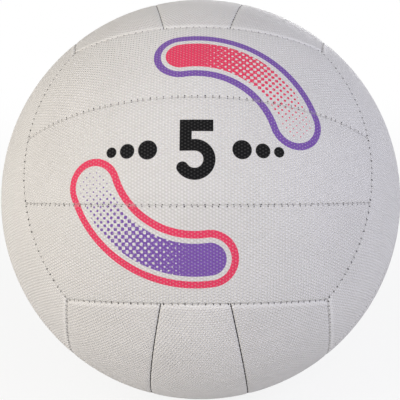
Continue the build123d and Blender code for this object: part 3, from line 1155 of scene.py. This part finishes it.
core_circles = [
    (CORE_RADIUS - TIP_CHAMFER, CORE_TIP, 0.3),
    (CORE_RADIUS, CORE_TIP + TIP_CHAMFER, 0.3),
    (CORE_RADIUS, CORE_SHOULDER, 0.2),
    (HEAD_RADIUS, CORE_SHOULDER, 0.25),
    (HEAD_RADIUS, VALVE_TOP, 0.4),
    (CHANNEL_RADIUS + FUNNEL_RIM, VALVE_TOP, 0.25),
    (CHANNEL_RADIUS + FUNNEL_LIP, VALVE_TOP - FUNNEL_LIP_DEPTH, 0.1),
    (CHANNEL_RADIUS, VALVE_TOP - FUNNEL_DEPTH, 0.15),
    (CHANNEL_RADIUS, CHANNEL_FOOT, 0.1),
]
core_profile = rounded(
    [
        (SLIT_HALF_LENGTH, SLIT_HALF_WIDTH, CORE_TIP, SLIT_ROUNDING),
        *[(radius, radius, height, rounding) for radius, height, rounding in core_circles],
        (CHANNEL_RADIUS * SLIT_TOP_SHARE, SLIT_HALF_WIDTH, CHANNEL_FOOT, SLIT_ROUNDING),
    ]
)
core_points, core_faces = turned(*core_profile.T)
core_rubber = rubber_finish("core_rubber", CORE_GREY, CORE_DUST, CORE_DUST_SHARE)
valve_core = make_piece("core", core_points, core_faces, core_rubber, {})
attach(valve_core, "core")
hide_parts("valve_core")


# Floor
# A broad flat sheet of white card that the ball stands on. What looks at it sees plain white, apart from
# a share near the ball that is lit and shaded like any card, and so shows the ball's shadow.

FLOOR_HALF = 6000.0
CARD_GREY = ink(229, 229, 229)
SHADOW_SHARE = 0.16
SHADOW_REACH = (900.0, 150.0)
WHITE = (1, 1, 1, 1)


def looked_at(start):
    """1 for rays from the camera, off a gloss or through glass, and 0 for those that gather light."""
    ray = start.node("LightPath", {}, {}, "Is Camera Ray")
    outputs = ray.socket.node.outputs
    others = [Wire(start.tree, outputs[name]) for name in ("Is Glossy Ray", "Is Transmission Ray")]
    return reduce(Wire.most, others, ray)


def floor_finish():
    """White card: a white glow for what looks at it, less the lit share, which grows towards the ball."""
    material, start, place = new_finish("white_card")
    far, near = SHADOW_REACH
    from_ball = place.along((1, 0, 0)).hypot(place.along((0, 1, 0)))
    white = 1 - from_ball.ease(far * MILLIMETRE, near * MILLIMETRE) * SHADOW_SHARE
    card = start.node("BsdfDiffuse", {}, {"Color": CARD_GREY})
    glow = start.node("Emission", {}, {"Color": WHITE, "Strength": 1.0})
    shader = start.node("MixShader", {}, {0: looked_at(start) * white, 1: card, 2: glow})
    start.node("OutputMaterial", {}, {"Surface": shader})
    return material


floor_points = FLOOR_HALF * np.array([[-1, -1, 0], [1, -1, 0], [1, 1, 0], [-1, 1, 0]], float)
floor_points[:, 2] = cad_low.z / MILLIMETRE
floor = make_piece("floor", floor_points, [np.array([[0, 1, 2, 3]])], floor_finish(), {})


# Light
# A white studio: even light from all round, a warm soft box at the left, a cool one at the upper right,
# and plain ones above the camera and behind. Their places and sizes are in metres.

ROOM_LIGHT = 0.41

world = bpy.data.worlds.new("studio")
world.use_nodes = True
world.node_tree.nodes.clear()
world_start = Wire(world.node_tree)
room = world_start.node("Background", {}, {"Color": WHITE, "Strength": ROOM_LIGHT})
backdrop = world_start.node("Background", {}, {"Color": WHITE, "Strength": 1.0})
world_mix = world_start.node("MixShader", {}, {0: looked_at(world_start), 1: room, 2: backdrop})
world_start.node("OutputWorld", {}, {"Surface": world_mix})
bpy.context.scene.world = world


def lamp(name, place, size, power, colour):
    """A square soft box that faces the ball."""
    light = bpy.data.lights.new(name, "AREA")
    light.size = size
    light.energy = power
    light.color = colour
    box = bpy.data.objects.new(name, light)
    box.location = place
    box.rotation_euler = (-Vector(place)).to_track_quat("-Z", "Y").to_euler()
    bpy.context.scene.collection.objects.link(box)


lamp("warm_box", place=(-1.5, -0.9, 0.6), size=1.4, power=24.0, colour=(1.0, 0.93, 0.835))
lamp("cool_box", place=(1.5, -1.0, 1.0), size=1.4, power=22.5, colour=(0.77, 0.79, 1.0))
lamp("front_box", place=(0.1, -1.75, 0.95), size=1.0, power=4.5, colour=(1.0, 1.0, 1.0))
lamp("back_box", place=(0.3, 2.0, 0.12), size=0.6, power=13.0, colour=(1.0, 1.0, 1.0))


# Camera
# A long lens, a little above the ball's middle and a hair to its right, so that the ball fills the frame.
# It aims at the ball's centre, and the lens is shifted by a small share of the picture's width.

VIEW_AZIMUTH = np.radians(1.497)
VIEW_ELEVATION = np.radians(17.852)
VIEW_ROLL = np.radians(-0.56)
VIEW_RADII = 5.073
VIEW_DISTANCE = VIEW_RADII * BALL_RADIUS * MILLIMETRE
HALF_FRAME = 0.2014
SHIFT_X = -0.0016
SHIFT_Y = -0.0012
SENSOR_WIDTH = 36.0
CLIP_START = 0.01

camera_data = bpy.data.cameras.new("portrait")
camera_data.sensor_width = SENSOR_WIDTH
camera_data.lens = SENSOR_WIDTH / 2 / HALF_FRAME
camera_data.shift_x = SHIFT_X
camera_data.shift_y = SHIFT_Y
camera_data.clip_start = CLIP_START
camera = bpy.data.objects.new("portrait", camera_data)
level = np.cos(VIEW_ELEVATION)
towards_camera = Vector(
    (np.sin(VIEW_AZIMUTH) * level, -np.cos(VIEW_AZIMUTH) * level, np.sin(VIEW_ELEVATION))
)
aim = (-towards_camera).to_track_quat("-Z", "Y")
camera.location = towards_camera * VIEW_DISTANCE
camera.rotation_mode = "QUATERNION"
camera.rotation_quaternion = aim @ Quaternion((0, 0, 1), VIEW_ROLL)
bpy.context.scene.collection.objects.link(camera)
bpy.context.scene.camera = camera
bpy.context.scene.view_settings.view_transform = "Standard"
